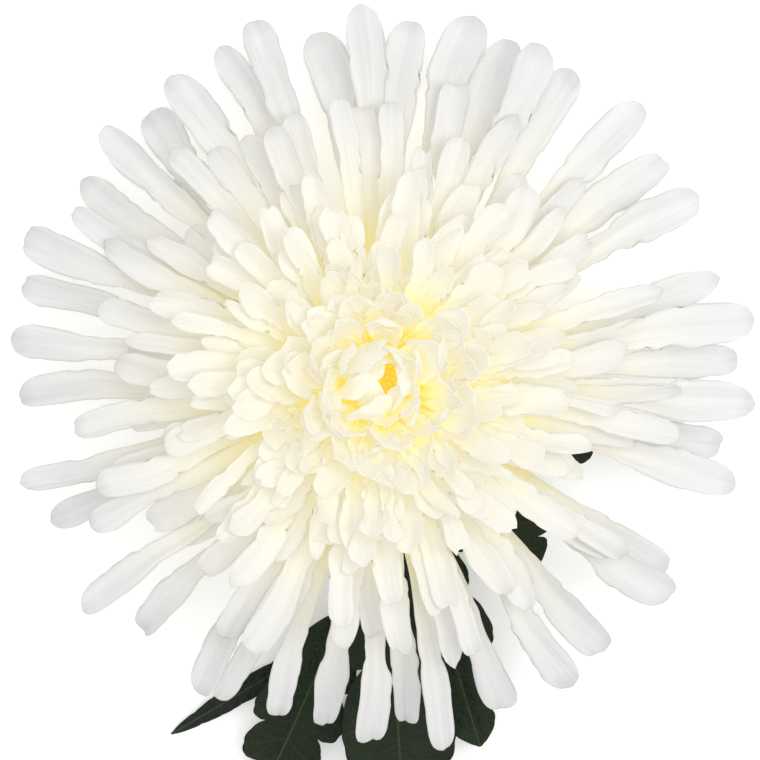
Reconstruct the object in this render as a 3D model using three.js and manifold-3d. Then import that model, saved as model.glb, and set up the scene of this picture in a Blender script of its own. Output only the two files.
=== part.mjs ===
// Spider chrysanthemum: one cut stem with an open ivory bloom, lying on a flat surface.
//
// Millimetres, +Z up. The stem lies along Y on the surface z = 0, with its cut end towards -Y, and its
// neck curves up so that the bloom faces the sky, leaning a little towards +Y. The far florets and the
// stem carry the weight. The group is set so that the middle of the object's footprint is the origin.
//
// Pieces: the ray florets on their core (one body, as they grow), the yellow disc in the heart, the
// green cup of bracts under the bloom, the ribbed stem, and ten leaves.

import * as THREE from "three";
import Module from "manifold-3d";

const wasm = await Module();
wasm.setup();

const { degToRad, lerp, clamp, smoothstep } = THREE.MathUtils;
const zAxis = new THREE.Vector3(0, 0, 1);

// ---- Driving dimensions -------------------------------------------------------------------------

const seatHeight = 29; // the bloom's centre above the surface
const lean = degToRad(15); // the bloom's axis, away from vertical, towards +Y
const fit = 0.35; // gap between pieces that touch

const core = { radius: 12, top: 8, bottom: -3 }; // the receptacle that the florets grow from
const rootDepth = 4; // how far a floret's root is sunk into the core
const goldenAngle = 137.508; // degrees from one dome floret to the next

const domeFlorets = 122;
const heartShare = 0.1; // of the dome florets bend in over the disc
const rimLength = 69;
// The rim florets stand in fans with gaps between: azimuth of the first and last, and how many.
const rimFans = [
  [31, 46, 3],
  [57, 76, 4],
  [85, 97, 3],
  [108, 114, 2],
  [123, 132, 2],
  [138, 156, 3],
  [164, 181, 3],
  [197, 203, 2],
  [218, 228, 2],
  [239, 253, 3],
  [262, 290, 5],
  [303, 309, 2],
  [322, 326, 2],
  [345, 376, 6],
];
const firstRimItem = 500; // the item number of each row's first floret in the seeded draws
const firstMiddleItem = 700;
const bladeThickness = 1.2; // of a floret, at its middle line
const floretClearance = 0.62; // of a floret's middle line over the surface

const disc = { radius: 4.2, height: 3.2, florets: 14 };
const cup = { foot: -9.5, footRadius: 3.6, rim: -3.4, rimRadius: 10.2 };

const stemRadius = 2.6;
const ribHeight = 0.3;
const ribs = 6;
const cutEnd = -250;
// Middle line of the stem from the cut end to the cup, before the bloom's seat: x, y, z.
const stemLine = [
  [-7, cutEnd, 2.9],
  [-6, -190, 2.9],
  [-2, -135, 2.9],
  [1.5, -85, 2.9],
  [1, -50, 3.0],
  [0.3, -30, 3.9],
  [0, -15, 8.0],
  [0, -6.2, 14.5],
];

const leafThickness = 0.9;
const petioleRadius = 1.0;
const wideLeaf = 16; // half width from which a blade is modelled with a bend across each half
// One row for each leaf: its place on the stem, counted in points of the stem line; its azimuth and
// length; the half width of its blade; the slopes that it starts and ends with, in degrees; and how
// deep its lobes are cut, as a share of its half width.
const leaves = {
  leaf_back: { place: 7.75, azimuth: 142, length: 41, width: 11, slopes: [0, -14], lobes: 0.42 },
  leaf_left: { place: 7.3, azimuth: 186, length: 38, width: 8, slopes: [2, -14], lobes: 0.42 },
  leaf_right: { place: 7.6, azimuth: 346, length: 50, width: 10, slopes: [0, -12], lobes: 0.42 },
  leaf_low_right: { place: 7.1, azimuth: 311, length: 47, width: 12, slopes: [8, -8], lobes: 0.42 },
  leaf_over_stem: { place: 6.5, azimuth: 273.5, length: 114, width: 14, slopes: [6, -11], lobes: 0.42 },
  leaf_near_right: { place: 5.8, azimuth: 286, length: 71, width: 11.5, slopes: [2, -8], lobes: 0.42 },
  leaf_near_left: { place: 4.25, azimuth: 248, length: 60, width: 11.5, slopes: [17, -24], lobes: 0.42 },
  leaf_slim: { place: 3.7, azimuth: 213, length: 50, width: 3, slopes: [-2, -3], lobes: 0.12 },
  leaf_stem_right: { place: 2.0, azimuth: 12, length: 80, width: 24, slopes: [18, -22], lobes: 0.42 },
  leaf_stem_left: { place: 1.45, azimuth: 166, length: 76, width: 23, slopes: [18, -22], lobes: 0.42 },
};

// ---- Shared helpers -----------------------------------------------------------------------------

// A repeatable draw from -1 to 1: one item's property always gets the same value.
function draw(item, property) {
  const wave = Math.sin(item * 12.9898 + property * 78.233) * 43758.5453;
  return 2 * (wave - Math.floor(wave)) - 1;
}

// How far a line has gone outwards and upwards at share t of its length, when its slope turns evenly.
function arcPoint(length, startSlope, endSlope, t) {
  const turn = endSlope - startSlope;
  const slope = startSlope + turn * t;
  return {
    out: (length * (Math.sin(slope) - Math.sin(startSlope))) / turn,
    up: (length * (Math.cos(startSlope) - Math.cos(slope))) / turn,
    slope,
  };
}

// Keeps a height above a floor, easing into it instead of breaking off.
function easeAbove(height, floor, softness = 2) {
  const over = height - floor;
  return floor + (over + Math.hypot(over, softness)) / 2;
}

function solidOf(positions, triangles) {
  return new wasm.Manifold(
    new wasm.Mesh({
      numProp: 3,
      vertProperties: new Float32Array(positions),
      triVerts: new Uint32Array(triangles),
    }),
  );
}

// A closed solid through a row of rings, each a loop of points that turns the same way about the row.
function loft(rings) {
  const sides = rings[0].length;
  const triangles = [];
  for (let row = 0; row + 1 < rings.length; row++) {
    for (let side = 0; side < sides; side++) {
      const a = row * sides + side;
      const b = row * sides + ((side + 1) % sides);
      triangles.push(a, b, b + sides, a, b + sides, a + sides);
    }
  }
  const last = (rings.length - 1) * sides;
  for (let side = 1; side + 1 < sides; side++) {
    triangles.push(0, side + 1, side, last, last + side, last + side + 1);
  }
  return solidOf(rings.flat().flatMap((point) => point.toArray()), triangles);
}

// A solid turned about Z through a profile of radius and height, from its foot to its top.
function turned(profile, sides) {
  const rings = profile.map(([radius, height]) =>
    Array.from({ length: sides }, (_, side) => {
      const angle = (2 * Math.PI * side) / sides;
      return new THREE.Vector3(radius * Math.cos(angle), radius * Math.sin(angle), height);
    }),
  );
  return loft(rings);
}

function meshOf(name, solid, material) {
  const { numProp, vertProperties, triVerts } = solid.getMesh();
  const positions = new Float32Array((vertProperties.length / numProp) * 3);
  for (let vertex = 0; vertex * 3 < positions.length; vertex++) {
    positions.set(vertProperties.subarray(vertex * numProp, vertex * numProp + 3), vertex * 3);
  }
  const geometry = new THREE.BufferGeometry();
  geometry.setAttribute("position", new THREE.BufferAttribute(positions, 3));
  geometry.setIndex(new THREE.BufferAttribute(new Uint32Array(triVerts), 1));
  geometry.computeVertexNormals();
  const mesh = new THREE.Mesh(geometry, material);
  mesh.name = name;
  return mesh;
}

// ---- Materials ----------------------------------------------------------------------------------

const materials = {
  petal: new THREE.MeshStandardMaterial({ color: "#f4f1e4", roughness: 0.65, metalness: 0 }),
  disc: new THREE.MeshStandardMaterial({ color: "#e8b92c", roughness: 0.75, metalness: 0 }),
  bract: new THREE.MeshStandardMaterial({ color: "#7f9450", roughness: 0.6, metalness: 0 }),
  stem: new THREE.MeshStandardMaterial({ color: "#6f8650", roughness: 0.6, metalness: 0 }),
  leaf: new THREE.MeshStandardMaterial({ color: "#2b3a25", roughness: 0.55, metalness: 0 }),
};

// ---- Bloom --------------------------------------------------------------------------------------

// The bloom's own frame: its origin is the middle of the core, and its +Z is the way the bloom faces.
const bloom = new THREE.Group();
bloom.position.set(0, 0, seatHeight);
bloom.rotation.x = -lean;
bloom.updateMatrix();
const bloomToSurface = bloom.matrix.clone();
const surfaceToBloom = bloomToSurface.clone().invert();

// A dome floret, from the incurved heart (share 0) to the widest ring of the dome (share 1).
function domeFloret(index) {
  const share = (index + 0.5) / domeFlorets;
  const bend = 1 - smoothstep(share, 0, heartShare);
  return {
    azimuth: degToRad(index * goldenAngle + lerp(20, 8, share) * draw(index, 1)),
    rootAngle: degToRad(lerp(50, 90, share ** 0.8)),
    length: lerp(24, 41, share) * (1 + 0.16 * draw(index, 2)),
    startSlope: degToRad(lerp(84, 26, share ** 0.6) + lerp(9, 4, share) * draw(index, 3)),
    endSlope: degToRad(lerp(100, 2, share ** 0.6) + 32 * bend + lerp(22, 8, share) * draw(index, 4)),
    stalkWidth: lerp(2.6, 2, share),
    bladeWidth: 5.6 + 5 * (1 - share) ** 6 + draw(index, 8),
    unfurl: [0.12, 0.84],
    cup: 0.38 + 0.12 * draw(index, 5),
    sway: 0.14 * draw(index, 6),
    twist: degToRad(24 * draw(index, 7)),
  };
}

// A middle floret: it lies on the rim florets of its fan and is shorter and narrower than they are.
// Every second one lies in the upper row.
function middleFloret(index, azimuth) {
  const upper = index % 2;
  const item = firstMiddleItem + index;
  return {
    azimuth: azimuth + degToRad(2 * draw(item, 1)),
    rootAngle: degToRad(upper ? 88 : 92),
    length: rimLength * (0.71 + 0.09 * draw(item, 2)),
    startSlope: degToRad(16 + 6 * upper + 2 * draw(item, 3)),
    endSlope: degToRad(-10 + 3 * upper + 3 * draw(item, 4)),
    stalkWidth: 2.2,
    bladeWidth: 5.5 + 0.9 * draw(item, 8),
    unfurl: [0.3, 0.88],
    cup: 0.3 + 0.1 * draw(item, 5),
    sway: 0.04 * draw(item, 6),
    twist: degToRad(14 * draw(item, 7)),
  };
}

// A rim floret: every second one lies in the lower row. Those towards the stem hang more and are slimmer.
function rimFloret(index, azimuth) {
  const lower = index % 2;
  const item = firstRimItem + index;
  const hang = Math.max(0, -Math.sin(azimuth));
  return {
    azimuth: azimuth + degToRad(0.8 * draw(item, 1)),
    rootAngle: degToRad(lower ? 100 : 95),
    length: rimLength * (1 - 0.02 * lower + 0.025 * draw(item, 2)),
    startSlope: degToRad(lower ? 5 : 11),
    endSlope: degToRad((lower ? -24 : -17) - 12 * hang + 4 * draw(item, 4)),
    stalkWidth: 2.4,
    bladeWidth: 7.1 + 0.9 * Math.sin(azimuth + degToRad(40)) + 0.9 * draw(item, 3),
    unfurl: [0.42, 0.9],
    cup: 0.3 + 0.1 * draw(item, 5),
    sway: 0.03 * draw(item, 6),
    twist: degToRad(14 * draw(item, 7)),
  };
}

// Half of the blade's width at share t: a slim stalk that unfurls to a spoon, and a round tip.
function halfWidth(floret, t) {
  const width = lerp(floret.stalkWidth, floret.bladeWidth, smoothstep(t, ...floret.unfurl));
  const tip = (0.6 * floret.bladeWidth) / floret.length;
  const rounding = Math.sqrt(1 - 0.8 * clamp((t - 1 + tip) / tip, 0, 1) ** 2);
  return (width * rounding) / 2;
}

// The middle line of a floret at share t, in the bloom's frame, kept above the surface.
function floretLine(floret, t) {
  const { out, up } = arcPoint(floret.length, floret.startSlope, floret.endSlope, t);
  const rootReach = (core.radius - rootDepth) * Math.sin(floret.rootAngle);
  const rootRise = (core.top - rootDepth) * Math.cos(floret.rootAngle);
  const point = new THREE.Vector3(rootReach + out, floret.sway * floret.length * t * t, rootRise + up)
    .applyAxisAngle(zAxis, floret.azimuth)
    .applyMatrix4(bloomToSurface);
  point.z = easeAbove(point.z, floretClearance);
  return point.applyMatrix4(surfaceToBloom);
}

// The blade's cross-section at share t: a shallow channel, thick at its middle line.
function floretRing(floret, t) {
  const step = 0.02;
  const centre = floretLine(floret, t);
  const along = floretLine(floret, t + step).sub(floretLine(floret, t - step)).normalize();
  const side = new THREE.Vector3(-Math.sin(floret.azimuth), Math.cos(floret.azimuth), 0);
  side.addScaledVector(along, -side.dot(along)).normalize();
  side.applyAxisAngle(along, floret.twist * t);
  const up = along.clone().cross(side);
  const half = halfWidth(floret, t);
  const edge = centre.clone().addScaledVector(up, floret.cup * half);
  return [
    centre.clone().addScaledVector(up, bladeThickness / 2),
    edge.clone().addScaledVector(side, -half),
    centre.clone().addScaledVector(up, -bladeThickness / 2),
    edge.clone().addScaledVector(side, half),
  ];
}

function floretSolid(floret, stations) {
  return loft(stations.map((t) => floretRing(floret, t)));
}

// The azimuths of a row that follows the fans, with each floret's place in its fan from 0 to 1.
function fanAzimuths(placeInFan) {
  return rimFans.flatMap(([first, last, count]) =>
    Array.from({ length: count }, (_, k) => degToRad(lerp(first, last, placeInFan(k, count)))),
  );
}

function rimFlorets() {
  const azimuths = fanAzimuths((k, count) => k / (count - 1));
  return azimuths.map((azimuth, index) => rimFloret(index, azimuth));
}

function middleFlorets() {
  const azimuths = fanAzimuths((k, count) => lerp(-0.15, 1.15, (k + 0.5) / count));
  return azimuths.map((azimuth, index) => middleFloret(index, azimuth));
}

// The receptacle: a low dome with a flat top for the disc.
function coreSolid() {
  const profile = [
    [0.75 * core.radius, core.bottom],
    [core.radius, 0],
    [0.9 * core.radius, 0.6 * core.top],
    [disc.radius, core.top],
  ];
  return turned(profile, 18);
}

function rayFlorets() {
  const heartStations = [0, 0.5, 0.85, 1];
  const domeStations = [0, 0.8, 1];
  const rimStations = [0, 0.45, 0.76, 0.94, 1];
  const solids = [coreSolid()];
  for (let index = 0; index < domeFlorets; index++) {
    const bent = index < 2 * heartShare * domeFlorets;
    solids.push(floretSolid(domeFloret(index), bent ? heartStations : domeStations));
  }
  for (const floret of [...middleFlorets(), ...rimFlorets()]) {
    solids.push(floretSolid(floret, rimStations));
  }
  return wasm.Manifold.union(solids);
}

// A point on the disc's dome, at an angle from its top.
function pointOnDome(tilt, azimuth, seat) {
  const reach = disc.radius * Math.sin(tilt);
  const height = seat + lerp(0.6, disc.height, Math.cos(tilt));
  return [reach * Math.cos(azimuth), reach * Math.sin(azimuth), height];
}

// The disc: a small dome set with short blunt florets.
function discSolid() {
  const seat = core.top + fit;
  const dome = [0, 25, 50, 75].map((degrees) => {
    const angle = degToRad(degrees);
    return [disc.radius * Math.cos(angle), seat + lerp(0.6, disc.height, Math.sin(angle))];
  });
  const solids = [turned([[disc.radius, seat], ...dome], 16)];
  for (let index = 0; index < disc.florets; index++) {
    const tilt = Math.sqrt((index + 0.5) / disc.florets) * degToRad(62);
    const floret = turned([[0.7, -1.4], [0.7, 0.5], [0.3, 0.9]], 4)
      .rotate([0, (180 / Math.PI) * tilt, index * goldenAngle])
      .translate(pointOnDome(tilt, degToRad(index * goldenAngle), seat));
    solids.push(floret);
  }
  return wasm.Manifold.union(solids);
}

// ---- Cup of bracts ------------------------------------------------------------------------------

// A bract: a narrow pointed blade that starts on the cup and spreads under the florets.
function bractSolid(azimuth, root, length, slopes) {
  const rings = [0, 0.35, 0.7, 1].map((t) => {
    const { out, up, slope } = arcPoint(length, slopes[0], slopes[1], t);
    const half = 2.1 * Math.sqrt(Math.max(0.03, 1 - t * t));
    const thick = lerp(0.6, 0.35, t);
    const ring = [
      [0, thick],
      [-half, 0.25 * half],
      [0, -thick],
      [half, 0.25 * half],
    ];
    return ring.map(([side, lift]) =>
      new THREE.Vector3(
        root[0] + out - lift * Math.sin(slope),
        side,
        root[1] + up + lift * Math.cos(slope),
      ).applyAxisAngle(zAxis, azimuth),
    );
  });
  return loft(rings);
}

function cupSolid() {
  const profile = [
    [cup.footRadius, cup.foot],
    [7.2, -8],
    [9.4, -5.8],
    [cup.rimRadius, cup.rim],
  ];
  const solids = [turned(profile, 20)];
  const rows = [
    { root: [4.2, -8.9], length: 8.6, slopes: [degToRad(42), degToRad(18)], count: 8, turn: 0 },
    { root: [6.6, -7.4], length: 9.0, slopes: [degToRad(36), degToRad(4)], count: 10, turn: 0.3 },
  ];
  for (const { root, length, slopes, count, turn } of rows) {
    for (let index = 0; index < count; index++) {
      const azimuth = (2 * Math.PI * (index + turn + 0.12 * draw(index, 60 + count))) / count;
      solids.push(bractSolid(azimuth, root, length, slopes));
    }
  }
  return wasm.Manifold.union(solids);
}

// ---- Stem ---------------------------------------------------------------------------------------

// The stem's middle line ends square under the cup, along the bloom's axis.
function stemCurve() {
  const top = new THREE.Vector3(0, 0, cup.foot - fit).applyMatrix4(bloomToSurface);
  const points = stemLine.map((point) => new THREE.Vector3(...point));
  return new THREE.CatmullRomCurve3([...points, top], false, "catmullrom", 0.5);
}

// The stem thins a little from its cut end to the cup.
function stemRadiusAt(share) {
  return stemRadius * lerp(1.06, 0.92, share);
}

function stemSolid() {
  const curve = stemCurve();
  const stations = 26;
  const corners = 2 * ribs;
  const rings = [];
  for (let row = 0; row <= stations; row++) {
    const share = row / stations;
    const centre = curve.getPoint(share);
    const along =
      row === stations ? new THREE.Vector3(0, Math.sin(lean), Math.cos(lean)) : curve.getTangent(share);
    const side = new THREE.Vector3(1, 0, 0).addScaledVector(along, -along.x).normalize();
    const up = side.clone().cross(along).negate();
    rings.push(
      Array.from({ length: corners }, (_, corner) => {
        const angle = (2 * Math.PI * corner) / corners;
        const reach = stemRadiusAt(share) + (corner % 2 ? ribHeight / 2 : 0);
        return centre
          .clone()
          .addScaledVector(side, -reach * Math.cos(angle))
          .addScaledVector(up, -reach * Math.sin(angle));
      }),
    );
  }
  return loft(rings);
}

// ---- Leaves -------------------------------------------------------------------------------------

const petioleShare = 0.2; // of a leaf's length that is stalk
const lobePitch = 0.26; // of the blade's length, from one lobe to the next
const firstLobe = 0.16;
const veinSlant = degToRad(58); // of the side veins, from the midrib

// Half width of the blade at share q of its length: three round lobes a side and a round end.
function lobedHalfWidth(leaf, q) {
  const outline = Math.sin(Math.PI * clamp(q, 0, 1) ** 0.8) ** 0.55;
  const lobe = Math.abs(Math.cos((Math.PI * (q - firstLobe)) / lobePitch)) ** 0.55;
  return leaf.width * outline * lerp(1, lobe, leaf.lobes);
}

// Where a leaf's stalk begins: its square end clears the stem's ribs by the fit, on the side it grows to.
function leafBase(leaf) {
  const stem = stemCurve();
  const share = leaf.place / stemLine.length;
  const along = stem.getTangent(share);
  const turn = degToRad(leaf.azimuth);
  const slope = degToRad(leaf.slopes[0]);
  const heading = new THREE.Vector3(Math.cos(slope), 0, Math.sin(slope)).applyAxisAngle(zAxis, turn);
  const away = heading.addScaledVector(along, -heading.dot(along)).normalize();
  const across = new THREE.Vector3(-Math.sin(turn), Math.cos(turn), 0);
  const corner = petioleRadius * (Math.abs(away.dot(across)) + Math.abs(away.z));
  const reach = stemRadiusAt(share) + ribHeight / 2 + fit + corner;
  return stem.getPoint(share).addScaledVector(away, reach);
}

// A point of the leaf's middle surface: t runs from its stalk to its tip, v from -1 to 1 across.
function leafPoint(leaf, base, t, v) {
  const slopes = leaf.slopes.map(degToRad);
  const { out, up, slope } = arcPoint(leaf.length, slopes[0], slopes[1], t);
  const q = (t - petioleShare) / (1 - petioleShare);
  const half = q > 0 ? Math.max(lobedHalfWidth(leaf, q), 0.35) : petioleRadius;
  const slanted = q > 0 ? half * Math.abs(v) * Math.cos(veinSlant) * Math.min(1, 4 * (1 - q)) : 0;
  const across = half * v * (q > 0 ? Math.sin(veinSlant) : 1);
  const fold = 0.14 * Math.abs(across) - 0.006 * across * across;
  const wave = q > 0 ? 0.05 * half * v * v * Math.sin((2 * Math.PI * q) / lobePitch + leaf.azimuth) : 0;
  const point = new THREE.Vector3(
    out + slanted * Math.cos(slope),
    across,
    up + slanted * Math.sin(slope) + fold + wave,
  )
    .applyAxisAngle(zAxis, degToRad(leaf.azimuth))
    .add(base);
  point.z = easeAbove(point.z, leafThickness / 2 + 0.05, 1);
  return point;
}

// A leaf: the same grid over and under, closed by a narrow wall round its outline.
function leafSolid(leaf) {
  const columns = leaf.width < wideLeaf ? [1, 0, -1] : [1, 0.5, 0, -0.5, -1];
  const base = leafBase(leaf);
  const shares = [0, 0.6 * petioleShare];
  for (let k = 0; k <= 22; k++) {
    shares.push(lerp(petioleShare, 1, 0.03 + (lobePitch / 6) * k));
  }
  const rings = shares.map((t) => {
    const q = (t - petioleShare) / (1 - petioleShare);
    const half = q > 0 ? leafThickness / 2 : petioleRadius;
    const over = columns.map((v) => leafPoint(leaf, base, t, v).add(new THREE.Vector3(0, 0, half)));
    const under = columns.map((v) => leafPoint(leaf, base, t, v).sub(new THREE.Vector3(0, 0, half)));
    return [...over, ...under.reverse()];
  });
  return leafLoft(rings, columns.length);
}

// Closes the rows of a leaf, whose two faces are split into triangles alike.
function leafLoft(rings, columns) {
  const sides = 2 * columns;
  const triangles = [];
  for (let row = 0; row + 1 < rings.length; row++) {
    for (let side = 0; side < sides; side++) {
      const a = row * sides + side;
      const b = row * sides + ((side + 1) % sides);
      const under = side >= columns;
      if (under) {
        triangles.push(a, b, a + sides, b, b + sides, a + sides);
      } else {
        triangles.push(a, b, b + sides, a, b + sides, a + sides);
      }
    }
  }
  const last = (rings.length - 1) * sides;
  for (let column = 0; column + 1 < columns; column++) {
    const [a, b] = [column, column + 1];
    const [c, d] = [sides - 2 - column, sides - 1 - column];
    triangles.push(a, c, b, a, d, c, last + a, last + b, last + c, last + a, last + c, last + d);
  }
  return solidOf(rings.flat().flatMap((point) => point.toArray()), triangles);
}

// ---- Assembly -----------------------------------------------------------------------------------

const flower = new THREE.Group();
bloom.add(meshOf("ray_florets", rayFlorets(), materials.petal));
bloom.add(meshOf("disc_florets", discSolid(), materials.disc));
bloom.add(meshOf("bract_cup", cupSolid(), materials.bract));
flower.add(bloom);
flower.add(meshOf("stem", stemSolid(), materials.stem));
for (const [name, leaf] of Object.entries(leaves)) {
  flower.add(meshOf(name, leafSolid(leaf), materials.leaf));
}

// Sets the middle of the footprint at the origin, and the lowest point on the surface.
const extent = new THREE.Box3().setFromObject(flower, true);
const middle = extent.getCenter(new THREE.Vector3());
flower.position.set(-middle.x, -middle.y, -extent.min.z);

export default flower;
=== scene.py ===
"""Spider chrysanthemum: thin florets, leaves, bracts and stem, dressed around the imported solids.

The florets and leaves grow by the same rules as the solids, here as thin channelled blades. Lengths inside
the rules are in millimetres in the bloom's own frame: its origin is the middle of the receptacle and its
+Z is the way the bloom faces. Every piece is placed in the frame's metres when its mesh is made.
"""

import math
from math import radians

import bpy
import numpy as np
from mathutils import Matrix, Vector


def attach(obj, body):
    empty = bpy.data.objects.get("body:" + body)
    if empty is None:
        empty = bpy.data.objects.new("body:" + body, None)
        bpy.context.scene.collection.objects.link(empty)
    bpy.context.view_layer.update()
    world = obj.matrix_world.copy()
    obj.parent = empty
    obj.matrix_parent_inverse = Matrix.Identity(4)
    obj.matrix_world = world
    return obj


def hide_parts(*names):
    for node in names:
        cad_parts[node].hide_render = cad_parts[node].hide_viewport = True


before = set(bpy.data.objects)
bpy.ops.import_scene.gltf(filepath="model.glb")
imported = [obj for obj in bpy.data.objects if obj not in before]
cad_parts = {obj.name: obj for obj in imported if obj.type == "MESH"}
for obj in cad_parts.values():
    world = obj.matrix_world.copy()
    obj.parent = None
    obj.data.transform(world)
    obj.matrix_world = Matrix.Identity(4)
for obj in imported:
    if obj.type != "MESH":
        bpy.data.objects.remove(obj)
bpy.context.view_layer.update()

bl_info = {
    "name": "Spider Chrysanthemum",
    "version": (1, 0, 0),
    "blender": (4, 5, 0),
    "location": "View3D > Sidebar > Flower",
    "description": "Builds a cut spider chrysanthemum: florets, disc, bracts, leaves, stem and a plain stage",
    "category": "Object",
}

MM = 0.001
ROOT_BODY = "root"
GLOW = 0.335  # strength of a painted glow: emission that stands in for light the crowded, translucent florets pass on to one another
# Metres from the bloom's axis between which the finish turns from heart to dome, and from dome to rim.
HEART_REACH, RIM_REACH = (0.008, 0.026), (0.016, 0.066)

# ---- Rules of growth, shared with the solids ----

SEAT = np.array([1.0081, 88.6227, 29.006])  # middle of the receptacle, from the frame's origin
LEAN = radians(15)
FIT = 0.35
CORE_RADIUS, CORE_TOP, CORE_BOTTOM = 12.0, 8.0, -3.0
ROOT_DEPTH = 4.0
GOLDEN_ANGLE = 137.508
DOME_FLORETS = 122
HEART_FLORETS = 25  # of the dome florets stand round the disc
INNER_PLACES = range(3, 121)  # one more floret stands between each of these and the next
FLORET_CLEARANCE = 0.62
LOWEST_FLORET = 0.3
ROLLED = radians(150)  # half the turn of a floret's section where it is rolled to a quill
# First item number of each kind of floret, so that no two share a draw. Fillers count on from the middle's.
FIRST_RIM, FIRST_MIDDLE, FIRST_FILLER, FIRST_INNER = 500, 700, 100, 900
# Rows and columns of each kind of blade, and the points of the line that it follows.
RIM_GRID, MIDDLE_GRID, DOME_GRID, HEART_GRID, BRACT_GRID = (44, 13), (40, 11), (32, 11), (36, 17), (18, 11)
LINE_POINTS = 161
# Azimuth of the first and last rim floret of each fan, and how many it has.
RIM_FANS = (
    (31, 46, 3), (57, 76, 4), (85, 97, 3), (108, 114, 2), (123, 132, 2), (138, 156, 3), (164, 181, 3),
    (197, 203, 2), (218, 228, 2), (239, 253, 3), (262, 290, 5), (303, 309, 2), (322, 326, 2),
    (345, 376, 6),
)
# Azimuth of each short floret that fills a wide gap between fans, and its length as a share of the rim's.
FILLERS = (
    (151, 0.9), (187, 0.78), (191, 0.62), (208, 0.82), (213, 0.68), (27, 0.56), (118, 0.7), (143, 0.6),
)
DISC_RADIUS, DISC_HEIGHT, DISC_EDGE = 4.2, 3.2, 0.6
# Radius, depth of the five lobes, level as a share of the height, and tint of each ring of a disc floret.
DISC_RINGS = ((0.24, 0, -0.6, 0.1), (0.26, 0, 0.4, 0.5), (0.36, 0.12, 0.8, 1.0), (0.14, 0, 0.62, 0.4))
# Radius and height of the cup's outline, from its foot to its rim.
CUP_FOOT, CUP_FOOT_RADIUS, CUP_RIM, CUP_RIM_RADIUS = -9.5, 3.6, -3.4, 10.2
CUP_OUTLINE = (
    (CUP_FOOT_RADIUS, CUP_FOOT), (5.6, -8.9), (7.2, -8.0), (8.5, -6.9), (9.4, -5.8), (10.0, -4.5),
    (CUP_RIM_RADIUS, CUP_RIM),
)
# Radius and height of its roots, length, slopes, count, turn and half width of each row of bracts.
BRACT_ROWS = (
    ((3.9, -9.7), 6.6, (12, 54), 9, 0.2, 2.3),
    ((5.9, -9.0), 6.6, (30, 70), 11, 0.7, 2.5),
    ((4.2, -8.9), 8.6, (42, 18), 8, 0.0, 2.0),
    ((5.4, -8.3), 8.8, (40, 10), 9, 0.55, 2.0),
    ((6.6, -7.4), 9.0, (36, 4), 10, 0.3, 2.1),
)
STEM_RADIUS, STEM_TAPER = 2.6, (1.06, 0.92)
RIB_HEIGHT, RIBS = 0.3, 6
STEM_LIFT = 0.006  # so that the stem's ribs rest on the ground
SWELLING, SWELLING_REACH = 0.22, 0.045  # of the stem where a leaf grows, its reach in spans
# Share of the radius, and how much it shows of the pith, of each ring on the cut end.
PITH_RINGS = ((0.0, 1), (0.25, 1), (0.5, 1), (0.72, 0.85), (0.86, 0.35), (0.95, 0.1))
HAIR_RADIUS, HAIR_ROOT, LOWEST_HAIR = 0.035, 0.05, 0.15
# Place from the seat in x and y, and height above the ground, of the points on the stem's line.
STEM_LINE = (
    (-7, -250, 2.9), (-6, -190, 2.9), (-2, -135, 2.9), (1.5, -85, 2.9), (1, -50, 3.0), (0.3, -30, 3.9),
    (0, -15, 8.0), (0, -6.2, 14.5),
)
PETIOLE_RADIUS, PETIOLE_SHARE = 1.0, 0.2
LOBE_PITCH, FIRST_LOBE = 0.26, 0.16
LOBE_DEPTH, SLIM_LOBE_DEPTH = 0.42, 0.12
VEIN_SLANT = radians(58)
LEAF_CLEARANCE = 0.5
# A leaf's first row, its rows from lobe to lobe and on its stalk, and its columns.
FIRST_ROW, LOBE_ROWS, STALK_ROWS, LEAF_COLUMNS = 0.012, 24, 10, 33
# Place on the stem, azimuth, length, half width, first and last slope, and depth of the lobes of each leaf.
LEAVES = {
    "leaf_back": (7.75, 142, 41, 11, 0, -14, LOBE_DEPTH),
    "leaf_left": (7.3, 186, 38, 8, 2, -14, LOBE_DEPTH),
    "leaf_right": (7.6, 346, 50, 10, 0, -12, LOBE_DEPTH),
    "leaf_low_right": (7.1, 311, 47, 12, 8, -8, LOBE_DEPTH),
    "leaf_over_stem": (6.5, 273.5, 114, 14, 6, -11, LOBE_DEPTH),
    "leaf_near_right": (5.8, 286, 71, 11.5, 2, -8, LOBE_DEPTH),
    "leaf_near_left": (4.25, 248, 60, 11.5, 17, -24, LOBE_DEPTH),
    "leaf_slim": (3.7, 213, 50, 3, -2, -3, SLIM_LOBE_DEPTH),
    "leaf_stem_right": (2.0, 12, 80, 24, 18, -22, LOBE_DEPTH),
    "leaf_stem_left": (1.45, 166, 76, 23, 18, -22, LOBE_DEPTH),
}

# ---- Stage, in metres and watts ----

FLOOR_REACH, FLOOR_DROP = 3, 0.0002
AMBIENT = 0.68
# Place from the bloom's middle, size and power of each softbox.
SOFTBOXES = {
    "key": ((0.20, 0.10, 0.36), 0.16, 0.36),
    "near": ((-0.12, 0.02, 0.36), 0.16, 0.10),
    "fill": ((0.1, 0.30, 0.9), 0.5, 2.6),
}
SENSOR_WIDTH = 36  # in millimetres, as a camera takes it
CAMERA_DISTANCE, SHOWN_WIDTH = 0.62, 0.152
CAMERA_SHIFT = (0.0006, 0.0002)

# ---- Draws and directions ----


def draw(item, trait):
    """A repeatable draw from -1 to 1: one item's trait, given by number, always gets the same value."""
    wave = math.sin(item * 12.9898 + trait * 78.233) * 43758.5453
    return 2 * (wave - math.floor(wave)) - 1


def lerp(a, b, share):
    return a + (b - a) * share


def smooth(low, high, x):
    """Eases from 0 at low to 1 at high."""
    share = np.clip((x - low) / (high - low), 0, 1)
    return share * share * (3 - 2 * share)


def ease_above(height, floor, softness):
    """Keeps heights over a floor, with a soft turn where they would sink below it."""
    over = height - floor
    return floor + (over + np.hypot(over, softness)) / 2


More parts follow.
